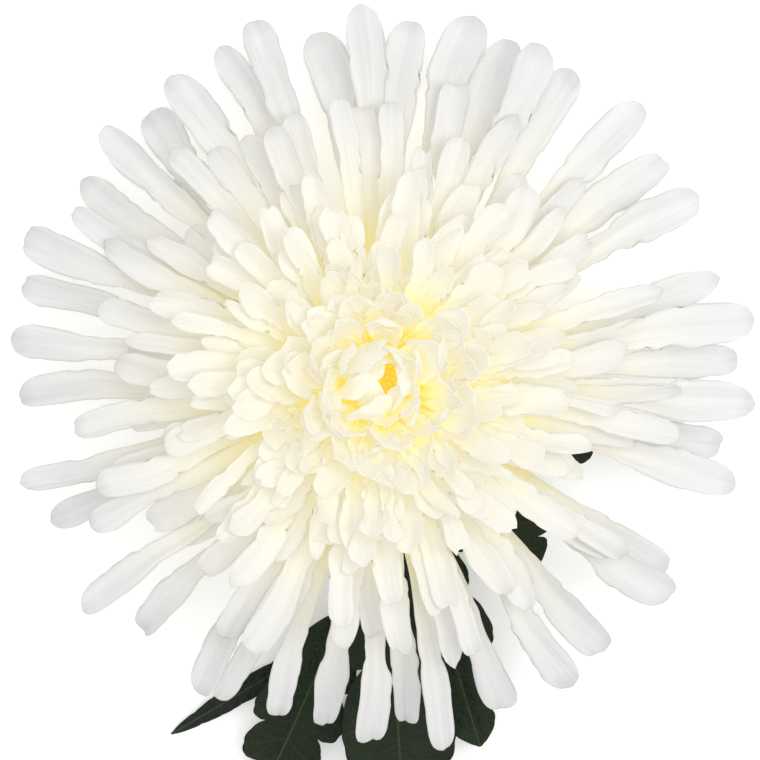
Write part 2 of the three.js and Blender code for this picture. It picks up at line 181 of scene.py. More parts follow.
def unit(vectors):
    return vectors / np.linalg.norm(vectors, axis=-1, keepdims=True)


def ring_angles(sides):
    return np.arange(sides) * 2 * math.pi / sides


def turn_z(points, angle):
    c, s = math.cos(angle), math.sin(angle)
    x, y, z = np.moveaxis(points, -1, 0)
    return np.stack([c * x - s * y, s * x + c * y, z], -1)


def bloom_direction(vectors):
    """Turns vectors from the bloom's frame to the surface's."""
    c, s = math.cos(LEAN), math.sin(LEAN)
    x, y, z = np.moveaxis(vectors, -1, 0)
    return np.stack([x, c * y + s * z, c * z - s * y], -1)


def bloom_to_surface(points):
    return SEAT + bloom_direction(points)


BLOOM_AXIS = bloom_direction(np.array([0.0, 0.0, 1.0]))


def bowed_line(length, first, last, share):
    """Slope, and the way gone out and up, at shares of a line that turns evenly between two slopes."""
    slope = lerp(first, last, share)
    turn = last - first
    out = length * (np.sin(slope) - math.sin(first)) / turn
    up = length * (math.cos(first) - np.cos(slope)) / turn
    return slope, out, up


def ripple(item, trait, x, knots):
    """A smooth repeatable wander from -1 to 1 along x from 0 to 1."""
    values = np.array([draw(item, trait + 0.37 * k) for k in range(knots + 1)])
    place = np.clip(x, 0, 1) * knots
    low = np.minimum(place.astype(int), knots - 1)
    return lerp(values[low], values[low + 1], smooth(0, 1, place - low))


# ---- Meshes ----


class Shell:
    """A closed shell: its points in millimetres, its faces, and a value for each point by name."""

    def __init__(self, points, faces, **values):
        self.points = np.asarray(points, float).reshape(-1, 3)
        self.faces = faces
        self.values = values


def blade_shell(middle, half_thickness, **values):
    """Gives a grid of points a body: the same grid over and under, closed round its outline."""
    shape = middle.shape[:2]
    normal = unit(np.cross(np.gradient(middle, axis=0), np.gradient(middle, axis=1)))
    offset = normal * np.broadcast_to(half_thickness, shape)[..., None]
    count = math.prod(shape)
    index = np.arange(count).reshape(shape)
    a, b = index[:-1, :-1].ravel(), index[:-1, 1:].ravel()
    c, d = index[1:, 1:].ravel(), index[1:, :-1].ravel()
    faces = [*zip(a, d, c, b), *zip(a + count, b + count, c + count, d + count)]
    loop = np.concatenate([index[0, :-1], index[:-1, -1], index[-1, :0:-1], index[:0:-1, 0]])
    after = np.roll(loop, -1)
    faces += [*zip(loop, after, after + count, loop + count)]
    doubled = {name: np.tile(np.broadcast_to(v, shape).ravel(), 2) for name, v in values.items()}
    return Shell([middle + offset, middle - offset], faces, **doubled)


def tube_shell(rings, **values):
    """A closed shell through rows of rings, with a fan at each end round the ring's middle."""
    rows, sides = rings.shape[:2]
    index = np.arange(rows * sides).reshape(rows, sides)
    beside = np.roll(index, -1, 1)
    faces = [*zip(index[:-1].ravel(), beside[:-1].ravel(), beside[1:].ravel(), index[1:].ravel())]
    first, last = rows * sides, rows * sides + 1
    faces += [(first, b, a) for a, b in zip(index[0], beside[0])]
    faces += [(last, a, b) for a, b in zip(index[-1], beside[-1])]
    points = np.concatenate([rings.reshape(-1, 3), [rings[0].mean(0), rings[-1].mean(0)]])
    spread = {}
    for name, value in values.items():
        flat = np.broadcast_to(value, (rows, sides)).ravel()
        spread[name] = np.concatenate([flat, [flat[0], flat[-1]]])
    return Shell(points, faces, **spread)


def turned_shell(profile, sides, **values):
    """A closed shell turned about Z through a profile of radius and height."""
    angle = ring_angles(sides)
    rings = [np.stack([r * np.cos(angle), r * np.sin(angle), np.full(sides, z)], -1) for r, z in profile]
    return tube_shell(np.array(rings), **values)


def make_piece(name, shells, finish, nodes):
    """Joins shells to one smooth mesh that rides on the flower in place of its solids."""
    points, faces, start = [], [], 0
    for shell in shells:
        points.append(shell.points)
        faces += [tuple(int(corner) + start for corner in face) for face in shell.faces]
        start += len(shell.points)
    mesh = bpy.data.meshes.new(name)
    mesh.from_pydata((np.concatenate(points) * MM).tolist(), [], faces)
    for value in shells[0].values:
        layer = mesh.attributes.new(value, "FLOAT", "POINT")
        layer.data.foreach_set("value", np.concatenate([s.values[value] for s in shells]).astype(np.float32))
    mesh.polygons.foreach_set("use_smooth", [True] * len(mesh.polygons))
    mesh.validate()
    mesh.materials.append(finish)
    piece = bpy.data.objects.new(name, mesh)
    bpy.context.scene.collection.objects.link(piece)
    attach(piece, ROOT_BODY)
    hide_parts(*nodes)


# ---- Shader expressions ----

MIX_COLOURS = {"data_type": "RGBA"}
MIX_FACTOR, MIX_A, MIX_B, MIX_RESULT = 0, 6, 7, 2


class Wire:
    """A socket in a finish's nodes, so that shader maths reads as plain expressions."""

    def __init__(self, finish, socket):
        self.finish = finish
        self.socket = socket

    def combine(self, operation, left, right):
        """Colours are combined by a Mix node, and values by a Math node."""
        if any(isinstance(side, Wire) and side.socket.type == "RGBA" for side in (left, right)):
            settings = {**MIX_COLOURS, "blend_type": operation}
            sockets = {MIX_FACTOR: 1.0, MIX_A: left, MIX_B: right}
            return self.finish.add("ShaderNodeMix", settings, sockets, MIX_RESULT)
        return self.finish.add("ShaderNodeMath", {"operation": operation}, {0: left, 1: right})

    def __add__(self, other):
        return self.combine("ADD", self, other)

    def __radd__(self, other):
        return self.combine("ADD", other, self)

    def __sub__(self, other):
        return self.combine("SUBTRACT", self, other)

    def __rsub__(self, other):
        return self.combine("SUBTRACT", other, self)

    def __mul__(self, other):
        return self.combine("MULTIPLY", self, other)

    def __rmul__(self, other):
        return self.combine("MULTIPLY", other, self)

    def ease(self, low, high):
        """From 0 where the value is low to 1 where it is high."""
        sockets = {"Value": self, "From Min": low, "From Max": high}
        return self.finish.add("ShaderNodeMapRange", {"interpolation_type": "SMOOTHSTEP"}, sockets)

    def tint(self, low, high):
        """The first colour where the value is 0, and the second where it is 1."""
        sockets = {MIX_FACTOR: self, MIX_A: low, MIX_B: high}
        return self.finish.add("ShaderNodeMix", MIX_COLOURS, sockets, MIX_RESULT)


class Finish:
    """A material under construction, and the Principled shader that its nodes feed."""

    def __init__(self, name, constants):
        self.material = bpy.data.materials.new(name)
        self.material.use_nodes = True
        self.tree = self.material.node_tree
        self.shader = self.tree.nodes["Principled BSDF"]
        for socket, value in constants.items():
            self.shader.inputs[socket].default_value = value

    def add(self, kind, settings, sockets, output=0):
        """Adds a node: first its settings, and then the values or links of its sockets."""
        node = self.tree.nodes.new(kind)
        for setting, value in settings.items():
            setattr(node, setting, value)
        for socket, value in sockets.items():
            self.link(node.inputs[socket], value)
        return Wire(self, node.outputs[output])

    def link(self, socket, value):
        """Links a wire to a socket, or sets the socket to a value."""
        if isinstance(value, Wire):
            self.tree.links.new(value.socket, socket)
        elif socket.type == "RGBA":
            socket.default_value = (*value, 1)
        else:
            socket.default_value = value

    def value(self, name):
        """A value that the mesh carries at each point."""
        return self.add("ShaderNodeAttribute", {"attribute_name": name}, {}, "Fac")

    def vector(self, x, y, z):
        return self.add("ShaderNodeCombineXYZ", {}, {0: x, 1: y, 2: z})

    def grain(self, place, scale, detail=2.0):
        """Cloudy noise from 0 to 1 at a place."""
        sockets = {"Vector": place, "Scale": scale, "Detail": detail}
        return self.add("ShaderNodeTexNoise", {"noise_dimensions": "3D"}, sockets, "Fac")

    def place(self):
        return self.add("ShaderNodeTexCoord", {}, {}, "Object")

    def relief(self, height, strength, distance):
        """Feeds a height to the shader's normal, through a bump."""
        sockets = {"Height": height, "Strength": strength, "Distance": distance}
        self.feed("Normal", self.add("ShaderNodeBump", {}, sockets))

    def feed(self, socket, value):
        self.link(self.shader.inputs[socket], value)


# ---- Finishes ----


def petal_finish(colours):
    """Soft petal: golden at the root, cream in the heart, cool white at the rim, veined lengthwise, with
    painted shade and a painted glow.
    """
    finish = Finish("petal_ivory", {
        "Subsurface Weight": 0.2,
        "Subsurface Radius": (0.8, 0.88, 1.0),
        "Subsurface Scale": 0.0025,
        "Specular IOR Level": 0.1,
        "Emission Strength": GLOW,
    })
    along, across, reach = finish.value("along"), finish.value("across"), finish.value("reach")
    item, shaded = finish.value("item"), finish.value("shaded")
    strand_place = finish.vector(across * 9.0 + item * 37.0, along * 2.6, item * 11.0)
    strands = finish.grain(strand_place, 1.0, 3.0)
    # Painted shade: soft grey bands along each blade, the shading of its folds, strongest at the rim.
    fold_shade_place = finish.vector(across * 1.7 + item * 23.0, along * 1.8, item * 5.0)
    painted_fold_shade = finish.grain(fold_shade_place, 1.0).ease(0.25, 0.75)
    cloud = finish.grain(finish.place(), 90.0)
    outer = reach.ease(*RIM_REACH)
    blade = outer.tint(colours.heart, colours.mid)
    tip = outer.tint(colours.heart_tip, colours.rim)
    wander = along + (cloud - 0.5) * 0.12
    opened = wander.ease(0.45, 0.9).tint(blade, tip)
    # Painted golden shade: the root's gold reaches further up the florets nearest the middle, into the
    # crevices between them.
    inmost = 1.0 - reach.ease(*HEART_REACH)
    # Painted shade: florets on the right, +X, side keep more of the lemon flush, those on the left less.
    raised = wander + outer * 0.25 - inmost * 0.09 - shaded * 0.11 * (1.0 - outer)
    flushed = raised.ease(0.05, 0.32).tint(colours.root, colours.flush)
    rooted = raised.ease(0.26, 0.64).tint(flushed, opened)
    # Painted shade: margins and tips are darkened, most at the rim, as shade on rolled edges.
    margin = (across * across).ease(0.7, 1.0)
    edge = (margin + wander.ease(0.93, 1.02)) * (outer * 0.12 + 0.07)
    # The base colour is darkened by lengthwise veins and by painted shade on the margins, tips and folds.
    shade = strands * 0.10 + 0.98 - edge - painted_fold_shade * (outer * 0.09 + 0.04)
    finish.feed("Base Color", rooted * shade.tint((0, 0, 0), (1, 1, 1)))
    # Painted glow: emission, gold near the roots, cream higher up and faint at the rim, stands in for light
    # passing through the florets.
    glow = wander.ease(0.2, 0.8).tint(colours.root, colours.glow)
    finish.feed("Emission Color", outer.tint(glow, colours.rim_glow))
    finish.feed("Roughness", strands * 0.16 + 0.44)
    finish.relief(strands, strength=0.35, distance=0.0004)
    return finish.material


def disc_finish(colours):
    """Golden tubular florets, greener at the foot, with a painted gold glow."""
    finish = Finish("disc_gold", {
        "Subsurface Weight": 0.2,
        "Subsurface Scale": 0.001,
        "Emission Strength": 1.6 * GLOW,
    })
    along = finish.value("along")
    cloud = finish.grain(finish.place(), 900.0)
    gold = (along + (cloud - 0.5) * 0.3).ease(0.0, 0.9).tint(colours.disc_foot, colours.disc)
    finish.feed("Base Color", gold)
    # Painted glow: the disc gives off its own gold, lifting the shade in the hollow of the heart.
    finish.feed("Emission Color", gold)
    finish.feed("Roughness", cloud * 0.2 + 0.5)
    finish.relief(cloud, strength=0.3, distance=0.0002)
    return finish.material


def bract_finish(colours):
    """Green bracts with dry pale margins and darker lines along them."""
    finish = Finish("bract_green", {"Specular IOR Level": 0.3})
    across, along = finish.value("across"), finish.value("along")
    edge = (across * across).ease(0.45, 0.95)
    lines = finish.grain(finish.vector(across * 4.0, along * 2.0, 0.0), 1.0)
    green = lines.tint(colours.bract_dark, colours.bract)
    finish.feed("Base Color", edge.tint(green, colours.bract_margin))
    finish.feed("Roughness", lines * 0.2 + 0.5)
    finish.relief(lines, strength=0.4, distance=0.0003)
    return finish.material


def stem_finish(colours):
    """Ribbed green skin with paler ribs, and a pale pith at the cut."""
    finish = Finish("stem_green", {"Specular IOR Level": 0.35})
    rib, pith, along = finish.value("rib"), finish.value("pith"), finish.value("along")
    place = finish.place()
    cloud = finish.grain(place, 60.0, 3.0)
    fibre = finish.grain(finish.vector(rib * 6.0, along * 60.0, pith), 1.0, 3.0)
    skin = (rib * 0.7 + cloud * 0.5).tint(colours.stem_groove, colours.stem)
    finish.feed("Base Color", pith.tint(skin, colours.pith))
    finish.feed("Roughness", cloud * 0.2 + 0.45)
    finish.relief(fibre, strength=0.3, distance=0.0003)
    return finish.material


def leaf_finish(colours):
    """Dark leaf, paler along the midrib and side veins, puckered into fine cells between them."""
    finish = Finish("leaf_green", {"Specular IOR Level": 0.1})
    midrib, vein, under = finish.value("midrib"), finish.value("vein"), finish.value("under")
    cool = finish.value("cool")
    place = finish.place()
    cloud = finish.grain(place, 55.0, 3.0)
    cells = finish.add("ShaderNodeTexVoronoi", {"feature": "DISTANCE_TO_EDGE"},
                       {"Vector": place, "Scale": 480.0}, "Distance")
    net = 1.0 - cells.ease(0.0, 0.12)
    ribs = 1.0 - midrib.ease(0.08, 0.32)
    side = 1.0 - vein.ease(0.02, 0.15)
    blade = cloud.ease(0.3, 0.7).tint(colours.leaf_dark, colours.leaf)
    toned = cool.tint(blade, colours.leaf_cool)
    netted = (net * 0.08).tint(toned, colours.leaf_vein)
    veined = (side * 0.35).tint(netted, colours.leaf_vein)
    ribbed = (ribs * 0.55).tint(veined, colours.leaf_vein)
    finish.feed("Base Color", (under * 0.55).tint(ribbed, colours.leaf_under))
    finish.feed("Roughness", cloud * 0.18 + 0.42)
    finish.relief(cells.ease(0.0, 0.3) - side * 0.6, strength=0.5, distance=0.0005)
    return finish.material


def down_finish(colours):
    """Short pale hairs."""
    finish = Finish("down_pale", {"Specular IOR Level": 0.3})
    along = finish.value("along")
    finish.feed("Base Color", along.tint(colours.stem, colours.down))
    finish.feed("Roughness", along * 0.1 + 0.5)
    return finish.material


def floor_finish(colours):
    """Matt pale floor."""
    finish = Finish("floor_white", {
        "Specular IOR Level": 0.1,
        "Roughness": 0.9,
        "Emission Strength": 0.30,
        "Emission Color": (1, 1, 1, 1),
    })
    cloud = finish.grain(finish.place(), 1.5)
    finish.feed("Base Color", cloud.tint(colours.floor, [0.995 * c for c in colours.floor]))
    return finish.material


# ---- Florets ----


def dome_floret(place, item):
    """A floret at a place on the spiral, counted from the disc: whole places are the solids' own."""
    share = (place + 0.5) / DOME_FLORETS
    bend = 1 - float(smooth(0, 0.1, share))
    return {
        "item": item,
        "azimuth": radians(place * GOLDEN_ANGLE + lerp(20, 8, share) * draw(item, 1)),
        "root_angle": radians(lerp(50, 90, share**0.8)),
        "length": lerp(24, 41, share) * (1 + 0.16 * draw(item, 2)),
        "start": radians(lerp(84, 26, share**0.6) + lerp(9, 4, share) * draw(item, 3)),
        "end": radians(lerp(100, 2, share**0.6) + 32 * bend + lerp(22, 8, share) * draw(item, 4)),
        "stalk": lerp(3.2, 2.4, share),
        "blade": 5.6 + 5 * (1 - share) ** 6 + draw(item, 8),
        "sway": 0.14 * draw(item, 6),
        "twist": radians(24 * draw(item, 7)),
        "open": 40 + 10 * draw(item, 5),
        "unfurl": (0.12, 0.84),
        "point": max(0, draw(item, 24)) ** 2 * share,
        "notch": 0.045 * max(0, draw(item, 21)) + 0.03 * (1 - share) ** 3,
        "hook": radians(lerp(12, 2, share) + lerp(30, 14, smooth(0, 0.4, share)) * draw(item, 22)),
        "fray": lerp(0.15, 1, smooth(0.1, 0.5, share)),
        "ragged": lerp(0.8, 0.3, share),
        "waved": lerp(0.16, 0.12, share),
        "lumpy": 0.19,
    }


def inner_floret(index):
    """A shorter floret that stands between the solids' own, and crowds the dome."""
    item = FIRST_INNER + index
    floret = dome_floret(index + 0.5, item)
    crowd = (1 - index / DOME_FLORETS) ** 3
    floret["length"] *= 0.86 + (0.1 + 0.08 * crowd) * draw(item, 32) + 0.12 * crowd
    floret["start"] += radians(9 + 12 * crowd * draw(item, 35))
    floret["end"] += radians(14 + 12 * draw(item, 33) + 20 * crowd * draw(item, 36))
    floret["blade"] *= 0.82 + 0.14 * draw(item, 34)
    floret["sway"] = 1.6 * floret["sway"] + 0.2 * crowd * draw(item, 38)
    floret["twist"] += radians(30 * crowd * draw(item, 37))
    floret["point"] = max(0, 0.3 + draw(item, 24)) * 0.75
    floret["lumpy"] = 0.24
    return floret


def rim_floret(index, azimuth, sizes):
    """A long floret of a fan: every other one grows a little lower."""
    lower = index % 2
    item = FIRST_RIM + index
    hang = max(0, -math.sin(azimuth))
    return {
        "item": item,
        "azimuth": azimuth + radians(0.8 * draw(item, 1)),
        "root_angle": radians(100 if lower else 95),
        "length": sizes.rim_length / MM * (1 - 0.02 * lower + 0.025 * draw(item, 2)),
        "start": radians(5 if lower else 11),
        "end": radians((-24 if lower else -17) - 12 * hang + 4 * draw(item, 4)),
        "stalk": 2.8,
        "blade": 7.1 + 0.9 * math.sin(azimuth + radians(40)) + 0.9 * draw(item, 3),
        "sway": 0.03 * draw(item, 6),
        "twist": radians(14 * draw(item, 7)),
        "open": 40 + 10 * draw(item, 5),
        "unfurl": (0.42, 0.9),
        "point": 0.14 + 0.5 * max(0, draw(item, 24)) ** 2,
        "notch": 0.012 * max(0, draw(item, 21)),
        "hook": radians(8 * draw(item, 22)),
        "fray": 1,
        "ragged": 0.15,
        "waved": 0.1,
        "lumpy": 0.15,
    }


def middle_floret(index, azimuth, sizes):
    """A shorter floret that lies on a fan: every other one grows a little higher."""
    upper = index % 2
    item = FIRST_MIDDLE + index
    return {
        "item": item,
        "azimuth": azimuth + radians(2 * draw(item, 1)),
        "root_angle": radians(88 if upper else 92),
        "length": sizes.rim_length / MM * (0.71 + 0.09 * draw(item, 2)),
        "start": radians(16 + 6 * upper + 2 * draw(item, 3)),
        "end": radians(-10 + 3 * upper + 3 * draw(item, 4)),
        "stalk": 2.6,
        "blade": 5.5 + 0.9 * draw(item, 8),
        "sway": 0.04 * draw(item, 6),
        "twist": radians(14 * draw(item, 7)),
        "open": 38 + 10 * draw(item, 5),
        "unfurl": (0.3, 0.88),
        "point": 0.1 + 0.7 * max(0, draw(item, 24)) ** 2,
        "notch": 0.03 * max(0, draw(item, 21)),
        "hook": radians(12 * draw(item, 22)),
        "fray": 1,
        "ragged": 0.3,
        "waved": 0.12,
        "lumpy": 0.17,
    }


def filler_floret(index, azimuth, share, sizes):
    """A floret in a gap between fans, its length a share of the rim's."""
    floret = middle_floret(FIRST_FILLER + index, radians(azimuth), sizes)
    floret["length"] = sizes.rim_length / MM * share
    floret["start"] -= radians(8)
    floret["blade"] += 0.6
    return floret


def rim_azimuths():
    for first, last, count in RIM_FANS:
        for place in range(count):
            yield radians(lerp(first, last, place / (count - 1)))


def middle_azimuths():
    for first, last, count in RIM_FANS:
        for place in range(count):
            yield radians(lerp(first, last, lerp(-0.15, 1.15, (place + 0.5) / count)))


def floret_blade(floret, grid, sizes):
    """A floret as a thin blade: a rolled quill that opens to a channelled spoon with a round tip."""
    item, length = floret["item"], floret["length"]
    # The line that it follows, its heading, and the two directions square to it.
    fine = np.linspace(0, 1, LINE_POINTS)
    slope = lerp(floret["start"], floret["end"], fine) + floret["hook"] * smooth(0.72, 1, fine)
    slope += 0.55 * floret["lumpy"] * ripple(item, 31, fine, 5) * smooth(0.1, 0.4, fine)
    step = length / (len(fine) - 1)

    def gone(rate):
        return np.concatenate([[0], np.cumsum((rate[1:] + rate[:-1]) / 2) * step])

    out = gone(np.cos(slope)) + (CORE_RADIUS - ROOT_DEPTH) * math.sin(floret["root_angle"])
    up = gone(np.sin(slope)) + (CORE_TOP - ROOT_DEPTH) * math.cos(floret["root_angle"])
    aside = length * (floret["sway"] * fine**2 + 0.14 * floret["lumpy"] * ripple(item, 41, fine, 4) * fine)
    line = bloom_to_surface(turn_z(np.stack([out, aside, up], -1), floret["azimuth"]))
    line[:, 2] = ease_above(line[:, 2], FLORET_CLEARANCE, 2)
    ahead = unit(np.gradient(line, axis=0))
    side = bloom_direction(turn_z(np.array([[0.0, 1.0, 0.0]]), floret["azimuth"]))
    side = unit(side - ahead * (side * ahead).sum(-1, keepdims=True))
    lift = np.cross(ahead, side)
    angle = (floret["twist"] * fine + radians(7) * ripple(item, 51, fine, 3))[:, None]
    side, lift = side * np.cos(angle) + lift * np.sin(angle), lift * np.cos(angle) - side * np.sin(angle)

    # Places on the blade, s along and v across, closer together at its tip and margins.
    crowding = math.pi / 2 * 0.92
    s = (1 - (1 - np.linspace(0, 1, grid[0])) ** 1.35)[:, None]
    v = np.sin(np.linspace(-1, 1, grid[1]) * crowding)[None, :] / math.sin(crowding)
    # Its outline: a tip from round to pointed, notched and ragged, and torn margins.
    tip_reach = lerp(0.7, 2.0, floret["point"]) * floret["blade"] / length
    tip = tip_reach * (1 - np.clip(1 - 0.98 * v**2, 0, 1) ** lerp(0.5, 0.8, floret["point"]))
    notch = floret["notch"] * np.exp(-(((v - 0.25 * draw(item, 23)) / 0.28) ** 2))
    ragged = floret["ragged"] / length * (1 + ripple(item, 61, (v + 1) / 2, 6))
    t = s * (1 - (tip + notch + ragged) * smooth(0.4, 1, s))
    spread = smooth(*floret["unfurl"], s)
    half = lerp(floret["stalk"], floret["blade"] * sizes.fullness, spread) / 2
    half = half * (1 + floret["lumpy"] * ripple(item, 121, s, 7) * smooth(0.15, 0.4, s))
    nicks = np.where(v < 0, ripple(item, 71, s, 26), ripple(item, 81, s, 26))
    torn = (0.06 + 0.28 * smooth(0.2, 0.4, s) * (1 - smooth(0.7, 0.95, s))) * spread
    frayed = 1 - floret["fray"] * torn * np.maximum(nicks + 0.1, 0) * v**4
    # Its section: rolled to a quill, opened to a channel, creased and waved.
    open_angle = radians(floret["open"]) * (1 + 0.18 * ripple(item, 91, s, 4))
    arc = lerp(ROLLED, open_angle, smooth(0.12, 0.74, s))
    radius = half / np.sin(np.minimum(arc, math.pi / 2))
    across = radius * np.sin(arc * v) * frayed
    rise = radius * (1 - np.cos(arc * v)) + 0.10 * np.cos(3 * math.pi * v) * spread - 0.12 * spread
    crease = np.exp(-(((v - 0.4 * ripple(item, 131, s, 3)) / 0.2) ** 2))
    rise -= 0.14 * half * crease * spread
    rise += floret["waved"] * half * v**2 * ripple(item, 101, s, 6) * np.sign(v) * spread
    place = np.clip(t, 0, 1)

    def at(values):
        return np.stack([np.interp(place, fine, values[:, k]) for k in range(3)], -1)

    middle = at(line) + at(side) * across[..., None] + at(lift) * rise[..., None]
    middle[..., 2] = np.maximum(middle[..., 2], LOWEST_FLORET)
    thick = sizes.thickness / MM / 2 * (0.35 + 0.65 * (1 - v**2)) * (1 - 0.7 * smooth(0.85, 1, s))
    from_axis = middle - SEAT
    reach = np.linalg.norm(from_axis - (from_axis @ BLOOM_AXIS)[..., None] * BLOOM_AXIS, axis=-1) * MM
    # Painted shade: 1 on the bloom's right, +X, side and -1 on its left, where less lemon flush is painted.
    shaded = math.cos(floret["azimuth"])
    return blade_shell(middle, thick, along=t, across=v, reach=reach, shaded=shaded, item=draw(item, 11))


# ---- Disc, receptacle and bracts ----


def receptacle_shell():
    """The core that the florets grow from."""
    sides = [(0.4, CORE_BOTTOM), (0.75, CORE_BOTTOM), (1, 0)]
    sides += [(0.97, 0.3 * CORE_TOP), (0.9, 0.6 * CORE_TOP), (0.66, 0.86 * CORE_TOP)]
    profile = [(share * CORE_RADIUS, height) for share, height in sides] + [(DISC_RADIUS, CORE_TOP)]
    shell = turned_shell(profile, 48, along=0.0, across=0.0, reach=0.0, shaded=0.0, item=0.0)
    shell.points = bloom_to_surface(shell.points)
    return shell


def disc_shells(count):
    """A low dome crowded with small tubular florets, each with five short lobes."""
    seat = CORE_TOP + FIT
    dome = [(DISC_RADIUS, seat), (DISC_RADIUS, seat + DISC_EDGE)]
    for rise in (0.4, 0.9, 1.4):
        dome.append((DISC_RADIUS * math.cos(rise), seat + lerp(DISC_EDGE, DISC_HEIGHT, math.sin(rise))))
    shells = [turned_shell(dome, 32, along=0.0)]
    angle = ring_angles(10)
    radius, lobe, level, tint = np.array(DISC_RINGS).T[..., None]
    lobes = lobe * np.cos(5 * angle)
    x, y = radius * (1 + lobes) * np.cos(angle), radius * (1 + lobes) * np.sin(angle)
    for index in range(count):
        tilt = math.sqrt((index + 0.5) / count) * radians(72)
        c, s = math.cos(tilt), math.sin(tilt)
        z = level * (1.5 + 0.25 * draw(index, 1)) + 0.8 * lobes
        points = np.stack([c * x + s * z, y, c * z - s * x], -1)
        points += [DISC_RADIUS * s * 0.97, 0, seat + lerp(0.5, DISC_HEIGHT, c)]
        points = turn_z(points, radians(index * GOLDEN_ANGLE))
        shells.append(tube_shell(points, along=tint))
    for shell in shells:
        shell.points = bloom_to_surface(shell.points)
    return shells


def bract_shell(item, azimuth, root, length, slopes, width):
    """A bract, channelled and bowed over the cup."""
    t = np.linspace(0, 1, BRACT_GRID[0])[:, None]
    v = np.linspace(-1, 1, BRACT_GRID[1])[None, :]
    slope, out, up = bowed_line(length, *map(radians, slopes), t)
    half = width * np.sqrt(np.clip(1 - 0.97 * t**2, 0, 1)) * (1 + 0.05 * ripple(item, 5, t, 6))
    lift = half * (0.28 * v**2) + 0.04 * np.cos(4 * math.pi * v)
    out, up = root[0] + out - lift * np.sin(slope), root[1] + up + lift * np.cos(slope)
    thick = lerp(0.3, 0.12, t) * (1 - 0.7 * v**2)
    middle = turn_z(np.stack([out, half * v, up], -1), azimuth)
    shell = blade_shell(middle, thick, along=t, across=v)
    shell.points = bloom_to_surface(shell.points)
    return shell


def bract_shells():
    """The cup, and the rows of bracts that overlap on it."""
    cup = turned_shell(CUP_OUTLINE, 64, along=0.0, across=0.0)
    cup.points = bloom_to_surface(cup.points)
    shells = [cup]
    for root, length, slopes, count, turn, width in BRACT_ROWS:
        for index in range(count):
            azimuth = 2 * math.pi * (index + turn + 0.12 * draw(index, 60 + count)) / count
            item = 100 * count + index
            grown = length * (1 + 0.06 * draw(item, 2))
            shells.append(bract_shell(item, azimuth, root, grown, slopes, width))
    return shells


# ---- Stem ----


def stem_points():
    """The points that the stem passes through, from its cut end to the cup."""
    line = np.array(STEM_LINE) + [SEAT[0], SEAT[1], STEM_LIFT]
    return np.vstack([line, SEAT + (CUP_FOOT - FIT) * BLOOM_AXIS])


def stem_at(share):
    """The stem's middle line and direction at shares of its spans from the cut end to the cup."""
    points = stem_points()
    padded = np.vstack([2 * points[0] - points[1], points, 2 * points[-1] - points[-2]])
    spans = len(points) - 1
    place = np.atleast_1d(share) * spans
    low = np.minimum(place.astype(int), spans - 1)
    w = (place - low)[:, None]
    p0, p1, p2, p3 = (padded[low + k] for k in range(4))
    m1, m2 = (p2 - p0) / 2, (p3 - p1) / 2
    a, b = 2 * p1 - 2 * p2 + m1 + m2, -3 * p1 + 3 * p2 - 2 * m1 - m2
    return ((a * w + b) * w + m1) * w + p1, unit((3 * a * w + 2 * b) * w + m1)


def stem_radius(share):
    """The stem tapers from its cut end to the cup."""
    return STEM_RADIUS * lerp(*STEM_TAPER, share)


def stem_sides(along):
    """The two directions square to the stem's own."""
    side = unit(np.array([1.0, 0, 0]) - along * along[..., :1])
    return side, np.cross(along, side)


def stem_shell():
    """The ribbed stem, swollen where a leaf grows, with rings of pith on its cut end."""
    rows, sides = 260, 72
    share = np.linspace(0, 1, rows)
    centre, along = stem_at(share)
    along[-1] = BLOOM_AXIS
    side, up = stem_sides(along)
    angle = ring_angles(sides)
    rib = 0.5 + 0.5 * np.cos(RIBS * (angle + math.pi / RIBS))
    radius = stem_radius(share)[:, None] + RIB_HEIGHT / 2 * rib[None, :] ** 2
    radius += 0.05 * np.stack([ripple(7, 1 + k % 5, share, 40) for k in range(sides)], 1)
    for place, *_ in LEAVES.values():
        from_leaf = (share * len(STEM_LINE) - place) / SWELLING_REACH
        radius += SWELLING * np.exp(-(from_leaf**2))[:, None]
    radius[0] *= 0.97
    c, s = np.cos(angle)[None, :, None], np.sin(angle)[None, :, None]
    spoke = -side[:, None] * c - up[:, None] * s
    rings = centre[:, None] + spoke * radius[..., None]
    rings[..., 2] = np.maximum(rings[..., 2], 0.0)
    cut = np.array([centre[0] + spoke[0] * radius[0][:, None] * inside for inside, _ in PITH_RINGS])
    pith = np.concatenate([[shown for _, shown in PITH_RINGS], np.zeros(rows)])[:, None]
    length = np.concatenate([np.zeros(len(cut)), share])[:, None]
    return tube_shell(np.concatenate([cut, rings]), rib=rib[None, :], pith=pith, along=length)


def down_shells(count):
    """Short hairs that stand on the stem, denser towards the bloom."""
    shells = []
    for index in range(count):
        share = 1 - (0.5 + 0.5 * draw(index, 1)) ** 1.3
        centre, along = (rows[0] for rows in stem_at(share))
        side, up = stem_sides(along)
        angle = math.pi * draw(index, 2)
        spoke = side * math.cos(angle) + up * math.sin(angle)
        height = 0.55 + 0.2 * draw(index, 3)
        root = centre + spoke * (stem_radius(share) - HAIR_ROOT)
        tip = root + spoke * height + along * 0.25 * draw(index, 4)
        if min(tip[2], root[2]) < LOWEST_HAIR:
            continue
        a = unit(np.cross(spoke, along)) * HAIR_RADIUS
        b = along * HAIR_RADIUS
        points = [root + a, root - 0.5 * a + 0.87 * b, root - 0.5 * a - 0.87 * b, tip]
        faces = [(0, 2, 1), (0, 1, 3), (1, 2, 3), (2, 0, 3)]
        shells.append(Shell(points, faces, along=np.array([0, 0, 0, 1.0])))
    return shells


# ---- Leaves ----


